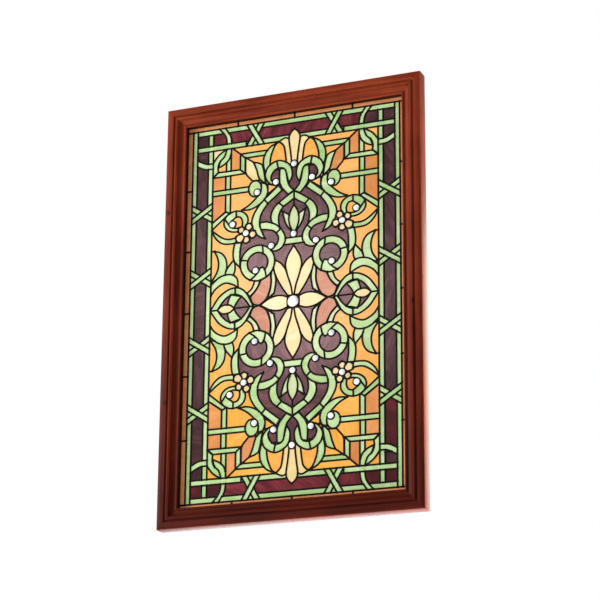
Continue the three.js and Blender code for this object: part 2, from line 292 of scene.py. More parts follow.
def lay(glass, sides, places=QUARTERS, sheet=None):
    """Lays a shape of one glass. Shapes of the same named sheet aren't parted by lead."""
    for across, up in places:
        outline = []
        for points in sides:
            outline += line_through([(across * x, up * z) for x, z in points])
        if sum(a.cross(b) for a, b in zip(outline, outline[1:] + outline[:1])) < 0:
            outline.reverse()
        kind = glass(across, up) if callable(glass) else glass
        laid.append({"outline": outline, "glass": kind, "sheet": sheet or len(laid)})


def joint(start, end, places=QUARTERS):
    """A line of lead where a long piece of glass is made of two."""
    for across, up in places:
        ends = [Vector((across * x, up * z)) for x, z in (start, end)]
        joints.append({"ends": ends, "above": len(laid)})


def polygon(*corners):
    return [[corner, corners[(i + 1) % len(corners)]] for i, corner in enumerate(corners)]


def box(x0, z0, x1, z1):
    return polygon((x0, z0), (x1, z0), (x1, z1), (x0, z1))


def oval(centre, across, up, count=24):
    turns = [2 * math.pi * (i + 0.5) / count for i in range(count)]
    return polygon(*[(centre[0] + across * math.cos(t), centre[1] + up * math.sin(t)) for t in turns])


def over_x(points):
    """The other half of a curve that ends on the upright middle line."""
    return [(-x, z) for x, z in reversed(points)]


def over_z(points):
    """The other half of a curve that ends on the level middle line."""
    return [(x, -z) for x, z in reversed(points)]


def by_quarter(glass, others):
    """One glass, but others in the quarters of the panel that are named."""
    return lambda across, up: others.get((across, up), glass)


# Border: a brown strip, a green strap, the dark band, a green strap and the amber field. The band
# is plum, with redder glass along the top, the bottom and the lower right
lay("brown", box(-SHEET[0], OUTER_LEAD[1], SHEET[0], SHEET[1]), UPPER_AND_LOWER)
lay("brown", box(OUTER_LEAD[0], -OUTER_LEAD[1], SHEET[0], OUTER_LEAD[1]), LEFT_AND_RIGHT)
joint((115.5, OUTER_LEAD[1]), (115.5, SHEET[1]))
joint((0, OUTER_LEAD[1]), (0, SHEET[1]), UPPER_AND_LOWER)
joint((OUTER_LEAD[0], 0), (SHEET[0], 0), LEFT_AND_RIGHT)
for z in (121, 242):
    joint((OUTER_LEAD[0], z), (SHEET[0], z))
lay("green", box(-OUTER_LEAD[0], -OUTER_LEAD[1], OUTER_LEAD[0], OUTER_LEAD[1]), WHOLE)
lay("plum", box(-BAND_OUTSIDE[0], -BAND_OUTSIDE[1], BAND_OUTSIDE[0], BAND_OUTSIDE[1]), WHOLE)
lay("wine", box(-FIELD[0], BAND_INSIDE[1] - 1, FIELD[0], BAND_OUTSIDE[1]), UPPER_AND_LOWER)
lay("deep_wine", box(BAND_INSIDE[0], SIDE_CROSSINGS[1], BAND_OUTSIDE[0], 297), (LOWER_RIGHT,))
lay("deep_wine", box(FIELD[0], BAND_INSIDE[1], BAND_OUTSIDE[0], BAND_OUTSIDE[1]), (LOWER_RIGHT, LOWER_LEFT))
end_of_band = box(BAND_CHANGES_GLASS, BAND_INSIDE[1] - 1, FIELD[0], BAND_OUTSIDE[1])
lay("deep_wine", end_of_band, (LOWER_RIGHT, LOWER_LEFT))
lay("plum", end_of_band, (UPPER_RIGHT,))
lay("green", box(-BAND_INSIDE[0], -BAND_INSIDE[1], BAND_INSIDE[0], BAND_INSIDE[1]), WHOLE)
lay("green", box(FIELD[0], BAND_INSIDE[1], BAND_INSIDE[0], BAND_OUTSIDE[1]))
lay("green", [
    [(165.5, 292.5), (180, 293.5), (198, 303)], [(198, 303), (198, 290.5)],
    [(198, 290.5), (183, 283), (165.5, 281.5)], [(165.5, 281.5), (165.5, 292.5)],
])
lay("green", [
    [(127.5, 317.5), (129.5, 340), (135, 351), (142, 361)], [(142, 361), (154, 361)],
    [(154, 361), (144.5, 350), (139, 339), (137, 317.5)], [(137, 317.5), (127.5, 317.5)],
])
lay("green", box(98, FIELD[1], BAND_OUTSIDE[0], BAND_INSIDE[1]))
joint((198, 350.5), (198, 361))
lay("amber", box(-FIELD[0], -FIELD[1], FIELD[0], FIELD[1]), WHOLE)

# Straps that cross over the border, the second of each two on top
lay("green", polygon((86, 317.5), (98, 317.5), (73, 361), (61, 361)))
lay("green", polygon((61, 317.5), (72.5, 317.5), (97.5, 361), (85.5, 361)))
for z in SIDE_CROSSINGS:
    for way in (1, -1):
        inner, outer = z - 13.5 * way, z + 13.5 * way
        lay("green", polygon((165.5, inner - 6), (207.5, outer - 6), (207.5, outer + 6), (165.5, inner + 6)))

# Grounds of the field: the purple that surrounds the vase and the flower, and the terracotta
lay("purple", polygon(
    (0, 266), (31, 268), (52, 262), (52, 245), (40, 233), (33, 231), (25, 230), (35, 219), (50, 207),
    (66, 190), (75, 172), (75, 158), (70, 140), (83, 139), (95, 130), (104, 130), (112, 118),
    (112, 100), (100, 80),
    (96, 65), (72, 52), (52, 60), (42, 66), (38, 40), (42, 18), (44, 8), (44, 0), (0, 0),
), sheet="purple_ground")
lay("amber", polygon((32, 229.5), (53, 235), (54, 214)))
lay("terracotta", polygon((109.5, 272), (128.5, 272), (128.5, 317.5), (126, 317.5), (109.5, 303.5)))
lay("terracotta", box(139, 235.5, 165.5, 262.5))
lay("terracotta", polygon((138.5, 191.5), (165.5, 172), (165.5, 225.5), (138.5, 225.5)))
lay(by_quarter("amber", {UPPER_LEFT: "straw"}), polygon((140, 317.5), (165.5, 317.5), (165.5, 292)))

# Lattice of straight straps in each corner of the field, and the two horns that curl out of it
lay("green", box(128.5, 186, 138.5, 225.5))
lay("green", box(129, 235.5, 139, 262.5))
lay("green", box(85, 225.5, 165.5, 235.5))
lay("green", box(128.5, 272, 138, 305))
lay("green", polygon((99.5, 263), (165.5, 262.5), (154.5, 272.5), (109.5, 272)))
lay("green", polygon((99.5, 263), (109.5, 272), (109.5, 303.5), (99.5, 294)))
lay("green", polygon((50, 294), (99.5, 294), (109.5, 303.5), (45, 303.5)))
joint((109.5, 303.5), (126, 317.5))
lay("green", [
    [(128.3, 317.5), (129, 306), (134, 294.5), (144, 286.5), (155, 282)],
    [(155, 282), (150, 296), (138, 317.5)], [(138, 317.5), (128.3, 317.5)],
])
lay("green", [
    [(137.5, 317.5), (147, 312.5), (156.5, 305), (165.5, 292.5)], [(165.5, 292.5), (165.5, 264)],
    [(165.5, 264), (154.5, 273)], [(154.5, 273), (155.3, 284), (151.5, 294.5), (142.5, 303), (137.5, 317.5)],
])

# Palmette at the middle of the top and bottom, and the leaf and kite beside it
lay("green", [
    [(33, 316), (47, 310), (57, 300), (62, 288), (62.5, 275), (59.5, 261)], [(59.5, 261), (33, 261)],
    [(33, 261), (33, 316)],
])
lay("orange", [
    [(31, 317), (39, 310.5), (45.5, 296), (48.5, 283), (49, 270)], [(49, 270), (10, 268)],
    [(10, 268), (12, 310)], [(12, 310), (31, 317)],
])
lay("cream", [
    [(9, 319), (19, 322.8), (31, 317)], [(31, 317), (22, 308), (18.8, 295), (15.5, 268)],
    [(15.5, 268), (3, 266)], [(3, 266), (9, 319)],
])
half = [(5, 266), (7, 287), (9.3, 304), (11.3, 321), (8, 331), (0, 338.5)]
lay("cream", [half, over_x(half), [(-5, 266), (5, 266)]], UPPER_AND_LOWER)
lay(by_quarter("terracotta", {UPPER_LEFT: "cream", LOWER_LEFT: "brown", LOWER_RIGHT: "amber"}),
    polygon((66, 245.5), (84, 245.5), (96, 259), (98.8, 266), (98.8, 295), (82.5, 283)))
lay("green", [
    [(57, 237), (59.5, 250), (61.5, 263), (65, 275.5)], [(65, 275.5), (72, 280), (82.5, 283)],
    [(82.5, 283), (76, 267), (70, 248), (57, 237)],
])

# Vase of straps round the bud, and the loop above it
lay("green", [
    [(15, 262), (29, 262)], [(29, 262), (29.5, 245), (27, 228), (12, 209)], [(12, 209), (0, 215.5)],
    [(0, 215.5), (10, 227), (15, 245), (15, 262)],
])
lay("green", [
    [(0, 214.5), (14, 206.5), (30.5, 195)], [(30.5, 195), (21.5, 186.5)],
    [(21.5, 186.5), (10, 193), (0, 200)], [(0, 200), (0, 214.5)],
])
lay("green", polygon((31, 230), (60, 205.5), (52.5, 196.5), (24, 219)))
lay("green", [
    [(10.8, 231.5), (4, 246), (9, 267.5), (31, 279.2), (52, 270), (58.5, 252), (49, 235.5), (33, 229.3)],
    [(33, 229.3), (46.5, 243), (42, 258), (31, 264.3), (19, 260), (14.5, 246), (10.8, 231.5)],
])
joint((32.5, 264.3), (35.5, 278.5))
lay("green", [
    [(30.5, 195), (39, 187.5), (45, 176), (46, 165), (42, 153)], [(42, 153), (28, 146)],
    [(28, 146), (30.5, 160), (29, 173.5), (21.5, 186.5)], [(21.5, 186.5), (30.5, 195)],
])
lay("green", box(-20, 111, 20, 123.5), UPPER_AND_LOWER)
lay("green", [
    [(68, 160.5), (52, 160), (34, 151.5), (21, 136.5), (16.7, 121), (23, 107), (36, 101.3), (46, 104)],
    [(46, 104), (34, 114), (30.5, 127), (39, 140), (53, 145), (68, 147)], [(68, 147), (68, 160.5)],
])
joint((26.5, 143.8), (34.5, 136))
lay("green", [
    [(60, 205.5), (73, 191), (82, 175), (84.4, 161), (79.5, 145.5), (69, 133.5), (57, 128)],
    [(57, 128), (63.5, 142), (68.6, 158), (65.5, 177), (52.5, 196.5)], [(52.5, 196.5), (60, 205.5)],
])
lay("pale_green", [
    [(9.5, 169), (17, 173.5), (23, 177.5)], [(23, 177.5), (20.5, 166), (17, 154), (11.5, 144), (5, 136)],
    [(5, 136), (9.5, 169)],
])
joint((20, 176), (26.5, 178.5))
half = [(0, 187), (7, 175.5), (10, 162), (8.5, 149), (3, 135)]
lay("pale_green", [half, [(3, 135), (-3, 135)], over_x(half)], UPPER_AND_LOWER)
joint((0, 187), (0, 200), UPPER_AND_LOWER)

# Hook beside the vase, and the spiral that curls over the small blossom
lay("green", [
    [(57, 236.5), (53, 226), (54.5, 213.5), (64, 201), (78, 192.5), (92, 189.3), (105, 190.8)],
    [(105, 190.8), (90, 198.6), (76, 211), (68, 222), (66, 240)], [(66, 240), (57, 236.5)],
])
lay("green", oval((78.8, 229.7), 13, 16))
lay("green", polygon((130, 187.5), (137.5, 191.5), (165.5, 172), (165.5, 158.5)))
lay("green", [
    [(108, 140), (122, 136.3), (136, 137), (149, 144), (165, 157.5)],
    [(165, 157.5), (160, 145), (150, 133.5), (138, 127.5), (118, 126.5)], [(118, 126.5), (108, 140)],
])
lay("green", [
    [(104, 127), (107.3, 110), (107, 78)], [(107, 78), (119, 92), (121.3, 108), (118.5, 126.5)],
    [(118.5, 126.5), (104, 127)],
])
lay("green", oval((116.6, 169.5), 24.6, 20.6, 32))
lay("orange", [
    [(104, 157.5), (103.3, 168), (108, 177), (116, 178.5)], [(116, 178.5), (127, 170.5)],
    [(127, 170.5), (130, 162), (117, 156), (104, 157.5)],
])
joint((116, 178.5), (116.3, 190))
joint((129.5, 163), (139.5, 176.5))
BLOSSOM = (95.6, 143.8)
PETALS = ((36, 19), (115, 20), (196, 21), (268, 20), (324, 24))
for turn, reach in PETALS:
    petal = []
    shoulder = 0.85 * reach
    for radius, spread in ((5, 0), (10, -32), (shoulder, -24), (reach, 0), (shoulder, 24), (10, 32), (5, 0)):
        angle = math.radians(turn + spread)
        petal.append((BLOSSOM[0] + radius * math.cos(angle), BLOSSOM[1] + radius * math.sin(angle)))
    lay("straw", [petal])

# Ring with its tail, and the leaves between the flower and the border
lay("green", [
    [(120, 94), (117, 85), (117, 73), (121, 63)], [(121, 63), (137, 66)], [(137, 66), (133.5, 78), (120, 94)],
])
lay("green", [
    [(160, 116), (145, 110.5), (135.5, 97), (134, 78), (141, 62)], [(141, 62), (165, 56)],
    [(165, 56), (154, 72.5), (150.5, 88), (153, 103), (160, 116)],
])
joint((158, 116), (165.5, 116))
lay("green", [
    [(110, 39.5), (112, 56), (121, 65), (135, 67), (150, 62.5), (165, 50)], [(165, 50), (165, 28.5)],
    [(165, 28.5), (155, 42), (137, 51), (121, 46.5), (110, 39.5)],
])
lay("pale_green", [
    [(65, 52), (70, 37), (77, 27.5), (86, 18.5)], [(86, 18.5), (92, 26)], [(92, 26), (82, 34.5), (76, 52)],
    [(76, 52), (65, 52)],
])
lay("pale_green", [
    [(40, 70), (44.3, 58), (43.8, 42), (46, 27), (51.5, 10)], [(51.5, 10), (38, 20)],
    [(38, 20), (34.5, 45), (40, 70)],
])
lay("salmon", [
    [(46.5, 65), (57, 58.5), (64, 49), (73, 31.5), (85.5, 18)], [(85.5, 18), (80, 4.5), (68, 0)],
    [(68, 0), (54, 10), (46, 29), (44.3, 45), (46.5, 65)],
])
lay("green", oval((71.8, 82.3), 34.5, 34.5, 44))
lay("purple", oval((71.6, 82.3), 20.5, 20.5, 28))
joint((62, 115.5), (60.5, 99))
joint((91.5, 89), (105.5, 91.5))
lay("green", [
    [(54, 53), (56.5, 66), (61.5, 73), (67.5, 70.5)], [(67.5, 70.5), (75, 59), (86.5, 50.5)],
    [(86.5, 50.5), (70, 47.6), (54, 53)],
])

# Pointed medallion at the middle of each side
half = [(79, 0), (84.5, 10.5), (93, 26), (104, 36.5), (116, 39.5), (131, 36.5), (147, 26), (158, 11.5),
        (165, 1)]
lay("green", [half, [(165, 1), (165, -1)], over_z(half)], LEFT_AND_RIGHT)
half = [(86, 0), (96, 14.5), (107, 24), (119, 27.3), (132, 22.5), (143, 11.5), (151, 0)]
lay("purple", [half, over_z(half)], LEFT_AND_RIGHT)
lay("green", [
    [(103, 21.5), (112, 11), (117, 0), (112, -11), (103, -21.5)], [(103, -21.5), (124.5, -27)],
    [(124.5, -27), (130, -12), (130, 12), (124.5, 27)], [(124.5, 27), (103, 21.5)],
], LEFT_AND_RIGHT)
half = [(117, 0), (124.5, 6.5), (134, 8.5), (143, 7), (151, 0)]
lay("cream", [half, over_z(half)], LEFT_AND_RIGHT)
joint((115.7, 27.2), (115.7, 39.5))
joint((79, 0), (117, 0), LEFT_AND_RIGHT)
joint((151, 0), (165, 0), LEFT_AND_RIGHT)

# Flower of eight petals in the middle
lay("cream", [
    [(35.5, 83), (39, 71), (37, 58), (31, 44), (22.5, 29), (11, 12)], [(11, 12), (1.5, 12)],
    [(1.5, 12), (4.8, 30), (9.6, 45), (14.2, 60), (24, 75), (35.5, 83)],
])
half = [(1.5, 12), (4.8, 30), (9.6, 45), (14.2, 60), (16, 73), (12.5, 87), (6, 98.5), (0, 108)]
lay("cream", [half, over_x(half), [(-1.5, 12), (1.5, 12)]], UPPER_AND_LOWER)
half = [(11, 9), (20, 13), (31, 14.3), (44, 12), (54, 7), (65, 0)]
lay("cream", [half, over_z(half), [(11, -9), (11, 9)]], LEFT_AND_RIGHT)

# Jewels: the drawing leaves a round hole for each, as wide as the middle of the lead that holds it
JEWELS = {
    "crown": (0, 268.5), "loop": (36, 237), "hook": (73.8, 221.5), "spiral": (123, 164.3),
    "blossom": BLOSSOM, "bud": (0, 130.3), "scroll": (44.2, 112.4), "ring": (75, 68),
}
SMALL_HOLE = 6.8
CENTRE_HOLE = 12.0
for place in JEWELS.values():
    lay("hole", oval(place, SMALL_HOLE, SMALL_HOLE, 16), UPPER_AND_LOWER if place[0] == 0 else QUARTERS)
lay("hole", oval((0, 0), CENTRE_HOLE, CENTRE_HOLE, 24), WHOLE)

# ---------------------------------------------------------------------------------------------
# The glass: rolled opalescent sheet, 3 mm thick, cut to the cartoon and held by the lead. Every
# piece is cut from its own place on the sheet, so its streaks run their own way.

GLASS_BACK = 5.5
GLASS_THICKNESS = 3.0
SMALLEST_PIECE = 7.0
ROUNDS_OF_MERGING = 3
CORNERS_MEET_WITHIN = 1e-3
FLAT_WITHIN = 0.5
GLOW = 0.16
FIRST_SHEET = 11


def neighbours(triangles):
    """For every edge, the one or two triangles beside it."""
    beside = {}
    for number, triangle in enumerate(triangles):
        for start, end in zip(triangle, triangle[1:] + triangle[:1]):
            beside.setdefault((min(start, end), max(start, end)), []).append(number)
    return beside


corners, edges, faces = [], [], []
for line in joints:
    edges.append((len(corners), len(corners) + 1))
    corners += line["ends"]
for shape in laid:
    faces.append(list(range(len(corners), len(corners) + len(shape["outline"]))))
    corners += shape["outline"]
cut = delaunay_2d_cdt(corners, edges, faces, 1, CORNERS_MEET_WITHIN)
places, drawn, triangles, _, drawn_from, filled_by = cut
triangles = [list(t) for t in triangles]
top = [max(shapes) for shapes in filled_by]
beside = neighbours(triangles)
joint_above = {}
for (start, end), sources in zip(drawn, drawn_from):
    heights = [joints[s]["above"] for s in sources if s < len(joints)]
    if heights:
        joint_above[(min(start, end), max(start, end))] = max(heights)


def leaded(edge):
    """Whether a line of lead runs along this edge between two pieces of glass."""
    both = beside[edge]
    if len(both) < 2:
        return False
    first, second = (laid[top[t]] for t in both)
    if first["sheet"] != second["sheet"]:
        return True
    return edge in joint_above and all(top[t] < joint_above[edge] for t in both)


def area_of(numbers):
    total = 0.0
    for number in numbers:
        a, b, c = (places[i] for i in triangles[number])
        total += abs((b - a).cross(c - a)) / 2
    return total


def collect():
    """Sorts the triangles into pieces of glass: the ones with no lead between them."""
    piece_of = [None] * len(triangles)
    pieces = []
    for seed in range(len(triangles)):
        if piece_of[seed] is not None:
            continue
        piece_of[seed] = len(pieces)
        members, waiting = [], [seed]
        while waiting:
            number = waiting.pop()
            members.append(number)
            triangle = triangles[number]
            for start, end in zip(triangle, triangle[1:] + triangle[:1]):
                edge = (min(start, end), max(start, end))
                if leaded(edge):
                    continue
                for other in beside[edge]:
                    if piece_of[other] is None:
                        piece_of[other] = len(pieces)
                        waiting.append(other)
        pieces.append(members)
    return pieces, piece_of


# A sliver too small to cut goes to the shape that it shares the longest side with
for _ in range(ROUNDS_OF_MERGING):
    pieces, piece_of = collect()
    for number, members in enumerate(pieces):
        if area_of(members) > SMALLEST_PIECE:
            continue
        shared = {}
        for edge, both in beside.items():
            owners = {piece_of[t] for t in both}
            if len(owners) == 2 and number in owners:
                other = next(t for t in both if piece_of[t] != number)
                length = (places[edge[0]] - places[edge[1]]).length
                shared[top[other]] = shared.get(top[other], 0.0) + length
        if shared:
            for member in members:
                top[member] = max(shared, key=shared.get)
pieces, piece_of = collect()


def opal_glass(name, dark, light, streak, streakiness=0.6, head=None):
    """Opalescent glass with soft streaks along the sheet, and a faint glow as if lit from behind."""
    glass, place = finish_of(name, Roughness=0.16, Emission_Strength=GLOW)
    sheet = place.node("ShaderNodeUVMap", {"uv_map": "sheet"}, {})
    tone = place.node("ShaderNodeAttribute", {"attribute_name": "tone"}, {}, output="Fac")
    wisps = sheet.mapped(scale=(1.0, 0.3, 1.0)).noise(38.0, detail=3.0, distortion=1.2).between(0.32, 0.7)
    fine = sheet.mapped(scale=(1.0, 0.12, 1.0)).noise(240.0, detail=2.0).between(0.3, 0.7)
    colour = (tone * 0.6 + wisps * 0.4).blend(dark, light)
    if head:
        colour = place.part("Z").between(-0.6, -0.15).blend(colour, head)
    colour = ((wisps * 0.6 + fine * 0.4) ** 2.2 * streakiness).blend(colour, streak)
    colour.feed("Base Color")
    colour.feed("Emission Color")
    (fine * 0.4 + wisps * 0.6).raised(0.15, 0.0004).feed("Normal")
    return glass


GLASSES = {
    "green": opal_glass("green_glass", linear(144, 182, 108), linear(179, 206, 146), linear(206, 224, 192)),
    "pale_green": opal_glass("pale_green_glass", linear(165, 184, 126), linear(192, 205, 156),
                             linear(216, 224, 192)),
    "amber": opal_glass("amber_glass", linear(219, 146, 46), linear(232, 166, 66), linear(242, 192, 112),
                        head=linear(232, 164, 88)),
    "orange": opal_glass("orange_glass", linear(219, 148, 48), linear(230, 168, 78), linear(238, 192, 126)),
    "terracotta": opal_glass("terracotta_glass", linear(190, 116, 56), linear(211, 140, 76),
                             linear(224, 162, 108)),
    "salmon": opal_glass("salmon_glass", linear(158, 94, 58), linear(180, 116, 76), linear(200, 146, 106)),
    "brown": opal_glass("brown_glass", linear(186, 112, 66), linear(210, 138, 88), linear(224, 160, 112)),
    "cream": opal_glass("cream_glass", linear(213, 186, 120), linear(228, 206, 148), linear(240, 224, 186)),
    "straw": opal_glass("straw_glass", linear(206, 180, 124), linear(222, 200, 152), linear(236, 220, 184)),
    "purple": opal_glass("purple_glass", linear(48, 21, 24), linear(76, 42, 44), linear(124, 78, 84), 1.0),
    "plum": opal_glass("plum_glass", linear(38, 14, 16), linear(57, 27, 30), linear(98, 56, 62), 1.0),
    "wine": opal_glass("wine_glass", linear(60, 10, 15), linear(90, 20, 28), linear(136, 52, 62), 1.0),
    "deep_wine": opal_glass("deep_wine_glass", linear(38, 3, 5), linear(66, 6, 10), linear(106, 22, 28), 0.9),
}


def glass_pieces(kind, seed):
    """All the pieces of one glass, as plates that meet in the middle of the lead between them."""
    dice = random.Random(seed)
    bm = bmesh.new()
    tone = bm.verts.layers.float.new("tone")
    sheet = bm.loops.layers.uv.new("sheet")
    for members in pieces:
        if laid[top[members[0]]]["glass"] != kind:
            continue
        turn = Matrix.Rotation(dice.uniform(-0.6, 0.6) + dice.choice((0, math.pi / 2)), 2)
        shift = Vector((dice.uniform(-9, 9), dice.uniform(-9, 9)))
        depth = dice.random()
        points = {}
        for number in members:
            for corner in triangles[number]:
                if corner not in points:
                    x, z = places[corner]
                    points[corner] = bm.verts.new((x, -GLASS_BACK, z + PANEL_MIDDLE))
                    points[corner][tone] = depth
        for number in members:
            plate = bm.faces.new([points[corner] for corner in triangles[number]])
            for loop in plate.loops:
                loop[sheet].uv = turn @ (Vector((loop.vert.co.x, loop.vert.co.z)) * MM) + shift
    bmesh.ops.recalc_face_normals(bm, faces=bm.faces)
    bmesh.ops.dissolve_limit(bm, angle_limit=math.radians(FLAT_WITHIN), verts=bm.verts, edges=bm.edges,
                             delimit={"MATERIAL"})
    lifted = bmesh.ops.extrude_face_region(bm, geom=bm.faces[:])["geom"]
    front = [g for g in lifted if isinstance(g, bmesh.types.BMVert)]
    bmesh.ops.translate(bm, verts=front, vec=(0, -GLASS_THICKNESS, 0))
    bmesh.ops.recalc_face_normals(bm, faces=bm.faces)
    made = piece(kind + "_glass_pieces", bm, [GLASSES[kind]])
    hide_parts("glass")


for seed, kind in enumerate(GLASSES, FIRST_SHEET):
    glass_pieces(kind, seed)

# ---------------------------------------------------------------------------------------------
# The lead: each piece of glass is edged with foil and the lines between are filled with solder, run
# to a round bead on both faces and darkened with patina. Where lines meet, the solder swells.

BEAD_HALF_WIDTH = 2.2
BEAD_HALF_DEPTH = 3.1
GLASS_MIDDLE = GLASS_BACK + GLASS_THICKNESS / 2
SHARPEST_BEND = 38.0
SHORTEST_STEP = 0.9


def lines_of_lead():
    """Chains of corners along the lead, broken where lines meet and at sharp bends."""
    around = {}
    for edge in beside:
        if not leaded(edge):
            continue
        if any(laid[top[t]]["glass"] == "hole" for t in beside[edge]):
            around.setdefault(edge[0], set()).add(-1)
            around.setdefault(edge[1], set()).add(-1)
            continue
        around.setdefault(edge[0], set()).add(edge[1])
        around.setdefault(edge[1], set()).add(edge[0])

    def ends_at(corner):
        near = around[corner]
        if len(near) != 2 or -1 in near:
            return True
        before, after = (places[n] - places[corner] for n in near)
        if before.length < 1e-4 or after.length < 1e-4:
            return True
        return 180 - math.degrees(before.angle(after)) > SHARPEST_BEND

    chains, seen = [], set()
    starts = [c for c in around if ends_at(c)]
    for start in starts + list(around):
        for following in sorted(around[start] - {-1}):
            if (start, following) in seen:
                continue
            if start not in starts and any((start, n) in seen for n in around[start]):
                continue
            chain = [start]
            before, here = start, following
            seen.add((start, following))
            seen.add((following, start))
            while here != start and not ends_at(here):
                chain.append(here)
                after = next(n for n in around[here] if n != before)
                before, here = here, after
                seen.add((before, here))
                seen.add((here, before))
            chain.append(here)
            chains.append(chain)
    return chains, [c for c in starts if around[c] != {-1}]


def patina(name):
    """Solder darkened to a brown black, with a dull shine along the top of the bead."""
    lead, place = finish_of(name, Specular_IOR_Level=0.1)
    pits = place.noise(700.0, detail=3.0).between(0.3, 0.7)
    cloud = place.noise(60.0, detail=2.0).between(0.35, 0.65)
    (cloud * 0.6 + pits * 0.4).blend(linear(6, 5, 4), linear(24, 18, 13)).feed("Base Color")
    (pits * 0.15 + cloud * 0.1 + 0.42).feed("Roughness")
    (pits * 0.5 + cloud * 0.5).raised(0.3, 0.0003).feed("Normal")
    return lead


PATINA = patina("patina")
chains, meetings = lines_of_lead()

SOLDER_PROFILE = ((-1.0, 0.1), (-0.84, 0.6), (-0.4, 0.97), (0.4, 0.97), (0.84, 0.6), (1.0, 0.1))
SOLDER_SWELL = 1.25


def drawn_round(name, half_width, lines, twist):
    """The mesh of round wires along lines of (place, width) pairs, each said to be closed or not."""
    curve = bpy.data.curves.new(name, "CURVE")
    curve.dimensions = "3D"
    curve.twist_mode = twist
    curve.bevel_depth = half_width
    curve.bevel_resolution = 2
    curve.use_fill_caps = True
    for line, closed in lines:
        spline = curve.splines.new("POLY")
        spline.points.add(len(line) - 1)
        for point, (place, width) in zip(spline.points, line):
            point.co = (*place, 1)
            point.radius = width
        spline.use_cyclic_u = closed
    drawing = bpy.data.objects.new(name, curve)
    bpy.context.scene.collection.objects.link(drawing)
    bpy.context.view_layer.update()
    mesh = bpy.data.meshes.new_from_object(drawing.evaluated_get(bpy.context.evaluated_depsgraph_get()))
    bpy.data.objects.remove(drawing)
    bpy.data.curves.remove(curve)
    return mesh


def line_of(chain):
    """The places along a chain, but for those that crowd together, and whether it closes on itself."""
    line = [places[chain[0]]]
    for corner in chain[1:-1]:
        if (places[corner] - line[-1]).length > SHORTEST_STEP:
            line.append(places[corner])
    closed = chain[0] == chain[-1]
    if not closed:
        if len(line) > 1 and (places[chain[-1]] - line[-1]).length < SHORTEST_STEP:
            line.pop()
        line.append(places[chain[-1]])
    return [((place.x, place.y, 0), 1.0) for place in line], closed


def beads(name, chosen, solder, half_width):
    """Beads of solder along the chosen chains, drawn flat and then deepened to show on both faces."""
    lines = [line_of(chain) for chain in chosen]
    swellings = []
    for corner in solder:
        x, y = places[corner]
        profile = [((x, y, half_width * up), SOLDER_SWELL * width) for up, width in SOLDER_PROFILE]
        swellings.append((profile, False))
    bm = bmesh.new()
    for drawn_mesh in (drawn_round(name, half_width, [line for line in lines if len(line[0]) > 1], "Z_UP"),
                       drawn_round(name, half_width, swellings, "MINIMUM")):
        bm.from_mesh(drawn_mesh)
        bpy.data.meshes.remove(drawn_mesh)
    bmesh.ops.transform(bm, verts=bm.verts, matrix=Matrix.Rotation(math.pi / 2, 4, "X"))
    bmesh.ops.scale(bm, verts=bm.verts, vec=(1, BEAD_HALF_DEPTH / half_width, 1))
    bmesh.ops.translate(bm, verts=bm.verts, vec=(0, -GLASS_MIDDLE, PANEL_MIDDLE))
    made = piece(name, bm, [PATINA])
    smooth_over(made, degrees=75)
    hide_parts("leading")


def inside_field(chain):
    middle = places[chain[len(chain) // 2]]
    return abs(middle.x) < FIELD[0] + 1 and abs(middle.y) < FIELD[1] + 1


field_lines = [c for c in chains if inside_field(c)]
border_lines = [c for c in chains if not inside_field(c)]
beads("field_leading", field_lines, [c for c in meetings if inside_field([c])], BEAD_HALF_WIDTH)
beads("border_leading", border_lines, [c for c in meetings if not inside_field([c])], BEAD_HALF_WIDTH)

# ---------------------------------------------------------------------------------------------
# The edge came: a channel of lead folded over the four edges of the panel, in the groove of the
# frame. As drawn here it has no width: the new face has no normal yet when it is inset, so the rim
# stays on the outer line, and the lips that should show along the frame are missing.

LIP_INSIDE = (214.5, 367.0)
CAME_OUTSIDE = (223.8, 376.3)
CAME_BACK = 3.9
CAME_FRONT = 10.1


def edge_came():
    bm = bmesh.new()
    for x, z in ((-1, -1), (1, -1), (1, 1), (-1, 1)):
        bm.verts.new((x * CAME_OUTSIDE[0], -CAME_BACK, z * CAME_OUTSIDE[1] + PANEL_MIDDLE))
    bm.faces.new(bm.verts)
    width = CAME_OUTSIDE[0] - LIP_INSIDE[0]
    rim = bmesh.ops.inset_region(bm, faces=bm.faces[:], thickness=width, use_boundary=True,
                                 use_even_offset=True)["faces"]
    bmesh.ops.delete(bm, geom=[f for f in bm.faces if f not in rim], context="FACES")
    lifted = bmesh.ops.extrude_face_region(bm, geom=bm.faces[:])["geom"]
    front = [g for g in lifted if isinstance(g, bmesh.types.BMVert)]
    bmesh.ops.translate(bm, verts=front, vec=(0, CAME_BACK - CAME_FRONT, 0))
    bmesh.ops.recalc_face_normals(bm, faces=bm.faces)
    made = piece("edge_came", bm, [PATINA])
    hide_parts("leading")


edge_came()

# ---------------------------------------------------------------------------------------------
# The jewels: pressed rounds of clear and milky glass with a faceted dome, each held in a ring of
# solder that is heavier than the lines round it.

SMALL_JEWEL = 5.6
CENTRE_JEWEL = 10.6
JEWEL_BACK = 4.5
JEWEL_GIRDLE = 9.6
SMALL_CROWN = 2.2
CENTRE_CROWN = 4.2
FACETS = ((0.9, 0.4), (0.66, 0.8), (0.34, 1.0))
RING_HALF_WIDTHS = (1.75, 2.0)
RING_HALF_DEPTH = 3.25
RING_SIDES = 8
RING_STEPS = 20
WELD_WITHIN = 1e-4


def jewel_places():
    """Every small jewel: its part of the design, the name of its node, and where it sits."""
    found = []
    for design, (x, z) in JEWELS.items():
        for across, up in (UPPER_AND_LOWER if x == 0 else QUARTERS):
            hand = "" if x == 0 else "right_" if across > 0 else "left_"
            level = "upper_" if up > 0 else "lower_"
            found.append((level + hand + design + "_jewel", Vector((across * x, up * z))))
    return found


